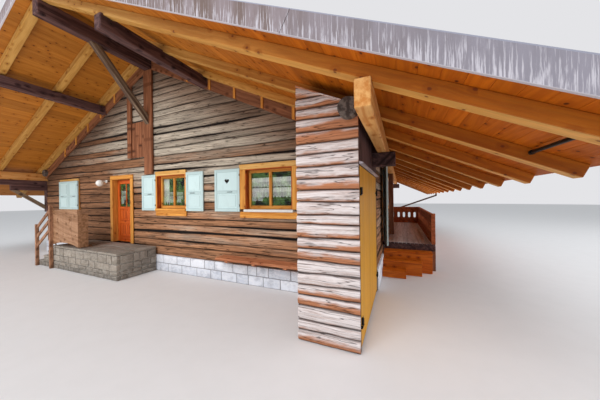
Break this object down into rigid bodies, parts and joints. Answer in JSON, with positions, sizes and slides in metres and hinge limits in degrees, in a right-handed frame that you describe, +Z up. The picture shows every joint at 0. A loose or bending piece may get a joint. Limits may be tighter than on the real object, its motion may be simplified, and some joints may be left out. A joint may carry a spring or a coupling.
{
  "type": "alpine chalet",
  "caption": "Hollow timber chalet under one wide boarded gable roof, with a corner store, an entrance landing and a side deck",
  "frame": {"origin": "on the ground, under the middle of the roof", "axes": "+Z up, the gable front with the entrance faces -Y, +X is to the right as seen from the front"},
  "size_m": [16.4126, 15.2946, 6.1736],
  "materials": {
    "plinth_stone": "rough squared stone with pale joints",
    "landing_stone": "pale rubble stone",
    "floor_wood": "planed boards",
    "hewn_timber": "weathered hewn timber",
    "dark_timber": "dark stained timber",
    "purlin_timber": "pale planed timber",
    "rafter_timber": "honey stained timber",
    "soffit_boards": "honey stained boards",
    "roof_slabs": "grey roof slabs",
    "verge_wood": "greyed boards with streaks",
    "gutter_metal": "brown coated sheet",
    "frame_wood": "brown stained frames",
    "glass": "clear",
    "shutter_paint": "pale green paint",
    "door_wood": "red brown stain",
    "log_slabs": "barked log slabs, bleached on top",
    "store_paint": "ochre stain",
    "hinge_iron": "black",
    "deck_boards": "grey weathered boards",
    "step_wood": "orange brown stain",
    "red_wood": "dark red stain",
    "carved_wood": "light brown carved boards",
    "opal_glass": "opal"
  },
  "bodies": {
    "house": {"stone_plinth": "plinth_stone", "ground_floor": "floor_wood", "front_wall_left": "hewn_timber", "front_wall_right": "hewn_timber", "front_gable": "hewn_timber", "left_wall": "hewn_timber", "right_wall_near": "hewn_timber", "right_wall_far": "hewn_timber", "right_wall_upper": "hewn_timber", "rear_wall": "hewn_timber", "purlins": "dark_timber", "eave_purlins": "purlin_timber", "wall_plates": "dark_timber", "gable_posts": "red_wood", "gable_boarding": "red_wood", "roof_braces": "dark_timber", "purlin_supports": "dark_timber", "rafters_left": "rafter_timber", "rafters_right": "rafter_timber", "roof_boarding_left": "soffit_boards", "roof_boarding_right": "soffit_boards", "roof_covering_left": "roof_slabs", "roof_covering_right": "roof_slabs", "ridge_cap": "roof_slabs", "verge_boards": "verge_wood", "gable_trim": "rafter_timber", "gutters": "gutter_metal", "window_frames": "frame_wood", "window_glass": "glass", "window_casings": "frame_wood", "window_shutters": "shutter_paint", "entrance_frame": "frame_wood", "store_log_wall": "log_slabs", "store_walls": "dark_timber", "store_head": "dark_timber", "store_hinges": "hinge_iron", "deck_door_frame": "frame_wood", "deck_floor": "deck_boards", "deck_frame": "dark_timber", "deck_posts": "red_wood", "deck_steps": "step_wood", "deck_parapet": "red_wood", "entrance_landing": "landing_stone", "entrance_railing": "red_wood", "entrance_lamp": "opal_glass", "wall_bench": "red_wood", "downpipes": "gutter_metal", "entrance_parapet": "carved_wood", "tube_lamp": "hinge_iron"},
    "entrance_leaf": {"entrance_door": "door_wood"},
    "store_leaf_near": {"store_door_near": "store_paint"},
    "store_leaf_far": {"store_door_far": "store_paint"},
    "deck_leaf": {"deck_door": "frame_wood", "deck_door_glass": "glass"}
  },
  "joints": [
    {"name": "entrance_hinge", "type": "hinge", "parent": "house", "child": "entrance_leaf", "pos_m": [-1.678, -5.129, 0.64], "axis": [0, 0, 1], "range_deg": [0, 95]},
    {"name": "store_hinge_near", "type": "hinge", "parent": "house", "child": "store_leaf_near", "pos_m": [5.916, -6.628, 0.05], "axis": [0, 0, -1], "range_deg": [0, 100]},
    {"name": "store_hinge_far", "type": "hinge", "parent": "house", "child": "store_leaf_far", "pos_m": [5.916, -4.702, 0.05], "axis": [0, 0, 1], "range_deg": [0, 100]},
    {"name": "deck_hinge", "type": "hinge", "parent": "house", "child": "deck_leaf", "pos_m": [5.729, -2.598, 0.68], "axis": [0, 0, 1], "range_deg": [0, 95]}
  ]
}
